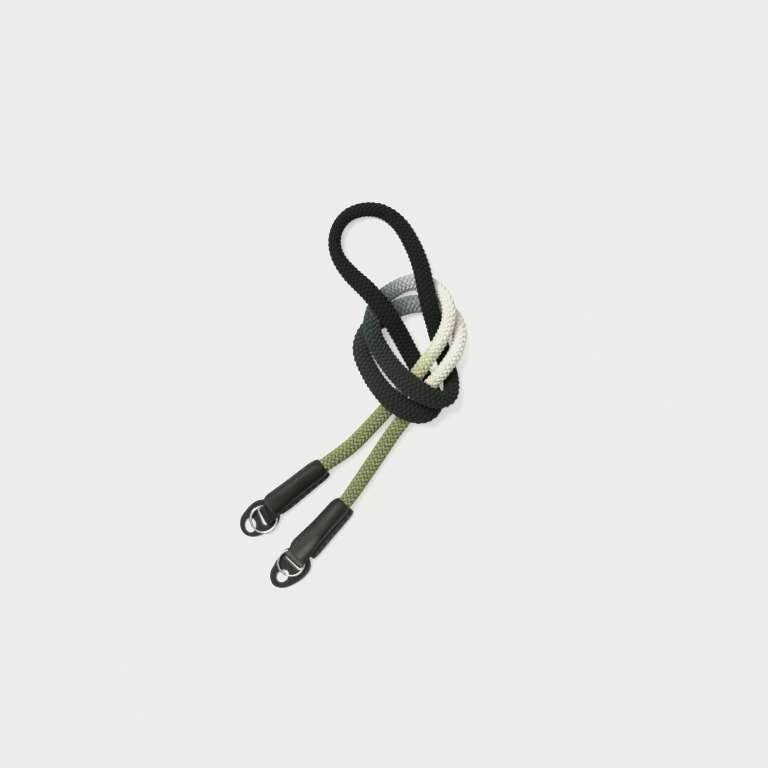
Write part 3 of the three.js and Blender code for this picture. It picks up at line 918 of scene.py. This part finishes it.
def inset(loop, by):
    """A loop drawn in towards its inside, its points counterclockwise."""
    ahead = np.roll(loop, -1, axis=0) - np.roll(loop, 1, axis=0)
    ahead /= np.linalg.norm(ahead, axis=1)[:, None]
    return loop + np.column_stack([-ahead[:, 1], ahead[:, 0]]) * by


def within(loop, spot):
    """Whether a spot lies inside a loop."""
    x, y = spot
    crossings = 0
    for (x0, y0), (x1, y1) in zip(loop, np.roll(loop, -1, axis=0)):
        if (y0 > y) != (y1 > y) and x < x0 + (y - y0) / (y1 - y0) * (x1 - x0):
            crossings += 1
    return crossings % 2 == 1


def inside(loops, spot):
    """Whether a spot lies inside the first loop and in none of the others."""
    return within(loops[0], spot) and not any(within(loop, spot) for loop in loops[1:])


RIM_TURNS = [0, 22, 45, 67, 90]
RIM_RUB = 0.25
CAP_GRID = 1.1
CAP_MARGIN = 0.5


def plate(outline, holes, thickness, rounding):
    """A flat plate with rounded rims, from its outline and holes, all of them counterclockwise."""
    loops = [outline] + [hole[::-1] for hole in holes]
    rim = [
        (rounding * (1 - math.sin(turn)), thickness - rounding * (1 - math.cos(turn)))
        for turn in np.radians(RIM_TURNS)
    ]
    rim += [(0, thickness / 2)] + [(by, thickness - up) for by, up in rim[::-1]]
    points, faces, edge = [], [], []
    caps = {0: [], len(rim) - 1: []}
    for loop in loops:
        starts = []
        for level, (by, up) in enumerate(rim):
            starts.append(len(points))
            points += [(x, y, up) for x, y in inset(loop, by)]
            edge += [1 if 1 <= level <= len(RIM_TURNS) else RIM_RUB] * len(loop)
        count = len(loop)
        for start, following in zip(starts, starts[1:]):
            for j in range(count):
                k = (j + 1) % count
                faces.append((start + j, following + j, following + k, start + k))
        caps[0].append((starts[0], count))
        caps[len(rim) - 1].append((starts[-1], count))
    for level, rounds in caps.items():
        by, up = rim[level]
        rims = [inset(loop, by) for loop in loops]
        owners = [start + j for start, count in rounds for j in range(count)]
        flat = [Vector(points[owner][:2]) for owner in owners]
        lines, offset = [], 0
        for _, count in rounds:
            lines += [(offset + j, offset + (j + 1) % count) for j in range(count)]
            offset += count
        low, high = outline.min(axis=0), outline.max(axis=0)
        for x in np.arange(low[0], high[0], CAP_GRID):
            for y in np.arange(low[1], high[1], CAP_GRID):
                nearest = min(np.linalg.norm(loop - (x, y), axis=1).min() for loop in rims)
                if nearest > CAP_MARGIN and inside(rims, (x, y)):
                    flat.append(Vector((x, y)))
                    owners.append(None)
        where, _, cells, origins, _, _ = delaunay_2d_cdt(flat, lines, [], 1, 1e-5)
        known = []
        for spot, origin in zip(where, origins):
            owner = next((owners[i] for i in origin if owners[i] is not None), None)
            if owner is None:
                owner = len(points)
                points.append((spot[0], spot[1], up))
                edge.append(0)
            known.append(owner)
        for cell in cells:
            middle = sum((where[i] for i in cell), Vector((0, 0))) / 3
            if inside(rims, middle):
                faces.append(tuple(known[i] for i in cell))
    return np.array(points), faces, np.array(edge, dtype=float)


# Each pad: how far it runs on from its slit and lies aside, its outline from the tip, its hole's place, two
# radii and turn in degrees, and the two ends of its slit's front
PADS = {
    "left": {
        "ahead": LEFT_PAD_RUN, "aside": 2.3,
        "outline": [(0, 0.4), (-0.5, -2.6), (-2.3, -5.4), (-5, -7.7), (-8.6, -8.9), (-13, -9.9), (-17.3, -10),
                    (-21, -8.7), (-24, -5.8), (-25.5, 0), (-24.2, 5.6), (-20.6, 8.8), (-15.5, 9.7),
                    (-10.5, 9), (-6.5, 7.9), (-3.2, 6.2), (-0.8, 3.6)],
        "hole": (-6.5, -0.3, 3.3, 4.3, -37),
        "slit": [(-15.1, -5.6), (-13, 5.9)],
    },
    "right": {
        "ahead": 17.2, "aside": 3,
        "outline": [(0, 0.2), (-0.7, -2.6), (-2.6, -5.3), (-5.4, -7.2), (-9.2, -8.2), (-13.8, -9.4),
                    (-18.4, -10.1), (-22.4, -9.2), (-26, -6), (-28, 0), (-26.2, 6), (-22.6, 9.4),
                    (-17.6, 10.2), (-12.6, 9.6), (-8, 8.2), (-4.2, 6.4), (-1.3, 3.6)],
        "hole": (-8.1, 0.2, 4.1, 3.2, 0),
        "slit": [(-17.4, -6.9), (-17.3, 6)],
    },
}
PAD_POINTS = 110
PAD_ROUNDING = 0.5
HOLE_POINTS = 36
LOOP_STEPS = 12
SLOT_TURN = 22.5
SWELL = 0.22
SWELL_RATE = 0.16


def counterclockwise(loop):
    area = np.sum(loop[:, 0] * np.roll(loop[:, 1], -1) - np.roll(loop[:, 0], -1) * loop[:, 1])
    return loop if area > 0 else loop[::-1]


def pad_outline(side):
    """A closed smooth line through the pad's points, counterclockwise, in even steps."""
    points = np.array(PADS[side]["outline"], dtype=float)
    closed = curve_through(np.vstack([points[-2:], points, points[:2]]), LOOP_STEPS)
    closed = closed[2 * LOOP_STEPS:(len(points) + 2) * LOOP_STEPS + 1]
    travel = travelled(closed)
    places = np.arange(PAD_POINTS) / PAD_POINTS * travel[-1]
    return counterclockwise(np.column_stack([np.interp(places, travel, column) for column in closed.T]))


def slit_loop(front, back):
    """A narrow slot with round ends between a front line and a back line."""
    (x0, y0), (x1, y1) = front
    half0, half1 = (x0 - back) / 2, (x1 - back) / 2
    loop = []
    for half, y, start in ((half1, y1 - half1, -90), (half0, y0 + half0, 90)):
        for angle in np.radians(np.arange(start, start + 181, SLOT_TURN)):
            loop.append((back + half - half * math.sin(angle), y + half * math.cos(angle)))
    return counterclockwise(np.array(loop))


def lying_pad(side, points):
    """A pad's points as it lies, its leather a little uneven."""
    lying = sloped(side, points, PADS[side]["aside"])
    swell = np.array([noise.noise(Vector(point) * SWELL_RATE) for point in lying]) * SWELL
    lying[:, 2] = np.maximum(lying[:, 2] + np.maximum(swell, -lying[:, 2] * 0.5), 0)
    return lying


def pad_piece(side):
    """The teardrop pad, with its rubbed rims, lying over the tab's underside and sloping to its tip."""
    pad = PADS[side]
    x, y, along, across, turn = pad["hole"]
    angles = np.arange(HOLE_POINTS) / HOLE_POINTS * math.tau
    ahead, aside = along * np.cos(angles), across * np.sin(angles)
    cosine, sine = math.cos(math.radians(turn)), math.sin(math.radians(turn))
    hole = np.column_stack([x + ahead * cosine - aside * sine, y + ahead * sine + aside * cosine])
    slit = slit_loop(pad["slit"], -pad["ahead"] - SLIT_WIDTH)
    points, faces, edge = plate(pad_outline(side), [hole, slit], PAD_THICKNESS, PAD_ROUNDING)
    numbers = {"edge": edge, "tone": np.full(len(edge), TONES[side][2])}
    return make_solid(f"lug_pad_leather_{side}", placed(side, lying_pad(side, points)), faces, HIDE, numbers)


# The split rings

RING_DIAMETER = 17
RING_AHEAD = 0.9
WIRE_WIDTH = 1.3
WIRE_HEIGHT = 0.8
TURN_GAP = 0.12
WIRE_CORNER = 0.38
WIRE_STEPS = 150
# The wire's ends, where it steps up and for how long, and how long each end tapers, in degrees
WIRE_FROM, WIRE_TO = 14, 706
STEP_FROM, STEP_LENGTH = 330, 60
TAPER_LENGTH = 8
TAPER_TIP = 0.55
RINGS = {"left": {"aside": 3.8, "splay": 0.4, "ends": 250}, "right": {"aside": 1.5, "splay": 0.1, "ends": 30}}


def ring_piece(side):
    """Two turns of flat spring wire, the lower stepping up to the upper between its two ends."""
    ring = RINGS[side]
    profile = []
    for start, cx, cy in ((0, 1, 1), (90, -1, 1), (180, -1, -1), (270, 1, -1)):
        for degrees in (start, start + 30, start + 60, start + 90):
            a = math.radians(degrees)
            profile.append((cx * (WIRE_WIDTH / 2 - WIRE_CORNER) + WIRE_CORNER * math.cos(a),
                            cy * (WIRE_HEIGHT / 2 - WIRE_CORNER) + WIRE_CORNER * math.sin(a)))
    out, up = np.array(profile).T
    rings = []
    for degrees in np.linspace(WIRE_FROM, WIRE_TO, WIRE_STEPS):
        share = min(1, max(0, (degrees - STEP_FROM) / STEP_LENGTH))
        rise = share * share * (3 - 2 * share)
        angle = math.radians(degrees + ring["ends"])
        height = PAD_THICKNESS + CLEARANCE + WIRE_HEIGHT / 2 + rise * (WIRE_HEIGHT + TURN_GAP)
        shift = rise * ring["splay"]
        taper = min(1, min(degrees - WIRE_FROM, WIRE_TO - degrees) / TAPER_LENGTH + TAPER_TIP)
        radii = RING_DIAMETER / 2 - WIRE_WIDTH / 2 + out * taper
        rings.append(np.column_stack([
            radii * math.cos(angle) - shift * 0.5, radii * math.sin(angle) + shift, height + up * taper,
        ]))
    points, faces = loft(rings)
    points[:, 0] += RING_AHEAD - SLIT_OPENING - PADS[side]["ahead"]
    points = placed(side, sloped(side, points, ring["aside"]))
    return make_solid(f"split_ring_wire_{side}", points, faces, STEEL)


# Sewing

STITCH_PITCH = 4.6
STITCH_LENGTH = 3.1
THREAD_WIDTH = 0.9
SIDE_STITCH_ANGLE = 147
RIM_STITCH_PITCH = 3.1
RIM_STITCH_LENGTH = 2
RIM_THREAD_WIDTH = 0.6
# Where the seam's thread starts and ends along the sleeve, and where the left side's thread ends
SEAM_FROM, SEAM_TO = 2, 35.5
SIDE_TO = 34
# Where the seam's thread lies: the share of the flange's width, and how far above and below it
SEAM_PLACE = 0.62
SEAM_LIFT = 1.05
RIM_INSET = 1.8
# How far behind the slit's front the rim's thread starts and ends
RIM_MARGIN = 2


def stitch_tree():
    """Lays a stitch at each pitch along a line."""
    graph, size = make_tree("stitches", {
        "Float": ["Pitch", "Stitch Length", "Thread Width"], "Material": ["Material"],
    })
    line_curve = graph.out("GeometryNodeMeshToCurve", 0, {}, {0: size["Geometry"]})
    spots = graph.node("GeometryNodeCurveToPoints", {"mode": "LENGTH"}, {
        0: line_curve, "Length": size["Pitch"],
    })
    ball = graph.node("GeometryNodeMeshUVSphere", inputs={"Segments": 8, "Rings": 8, "Radius": 0.5})
    grain = graph.out("GeometryNodeTransform", 0, {}, {
        "Geometry": ball.outputs["Mesh"],
        "Scale": graph.combined(size["Stitch Length"], size["Thread Width"], size["Thread Width"]),
    })
    tangent = spots.outputs["Tangent"]
    turn = graph.out("FunctionNodeAlignRotationToVector", 0, {"axis": "X"}, {"Vector": tangent})
    stitches = graph.out("GeometryNodeInstanceOnPoints", 0, {}, {
        "Points": spots.outputs["Points"], "Instance": grain, "Rotation": turn,
    })
    finish_tree(graph, stitches, size["Material"])
    return graph.tree


def sewn(name, side, lines, tree, sizes):
    """Stitches along lines that are given in a side's own places."""
    points, edges = [], []
    for line in lines:
        edges += [(i, i + 1) for i in range(len(points), len(points) + len(line) - 1)]
        points += list(line)
    mesh = make_mesh("sewing_line", placed(side, points), [], edges)
    pitch, length, width = (size * MM for size in sizes)
    sizes = {"Pitch": pitch, "Stitch Length": length, "Thread Width": width, "Material": THREAD}
    return grown(f"{name}_{side}", mesh, tree, sizes)


def seam_stitches(side, tree):
    """The thread along the sleeve's flange, above and below, and along the left sleeve's other side."""
    rows = curve_through(SLEEVES[side], SLEEVE_STEPS)
    run = rows[(rows[:, 0] > SEAM_FROM) & (rows[:, 0] < SEAM_TO)]
    lines = [
        [(row[0], row[2] + SEAM_PLACE * (row[3] - row[2]), SEAM_HEIGHT + up) for row in run]
        for up in (SEAM_LIFT, -SEAM_LIFT)
    ]
    if side == "left":
        lines.append([tube_point(row, math.radians(SIDE_STITCH_ANGLE)) for row in run if row[0] < SIDE_TO])
    return sewn("seam_stitches", side, lines, tree, (STITCH_PITCH, STITCH_LENGTH, THREAD_WIDTH))


def rim_stitches(side, tree):
    """The thread round the pad, inside its rim, up to the tab."""
    ahead = PADS[side]["ahead"]
    loop = inset(pad_outline(side), RIM_INSET)
    loop = np.roll(loop, -np.argmax(loop[:, 0] + ahead < -RIM_MARGIN), axis=0)
    run = loop[loop[:, 0] > -ahead - RIM_MARGIN]
    line = lying_pad(side, np.column_stack([run, np.full(len(run), PAD_THICKNESS)]))
    return sewn("rim_stitches", side, [line], tree, (RIM_STITCH_PITCH, RIM_STITCH_LENGTH, RIM_THREAD_WIDTH))


stitches = stitch_tree()
for side in MOUTHS:
    sleeve, tab, pad, ring = sleeve_piece(side), tab_piece(side), pad_piece(side), ring_piece(side)
    seam, rim = seam_stitches(side, stitches), rim_stitches(side, stitches)
    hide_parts(f"sleeve_{side}")
    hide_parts(f"lug_pad_{side}")
    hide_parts(f"split_ring_{side}")
    for piece in (sleeve, tab, pad, seam, rim):
        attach(piece, "root")
    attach(ring, "root")

# The floor, and what each piece is

bpy.ops.mesh.primitive_plane_add(size=6, location=(0.05, 0.08, 0))
floor = bpy.context.object
floor.name = "floor"
floor.data.materials.append(pale_surface())

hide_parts("rope")
for piece in [heart] + yarns:
    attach(piece, "root")
(rope_line[::2] * MM).tolist()
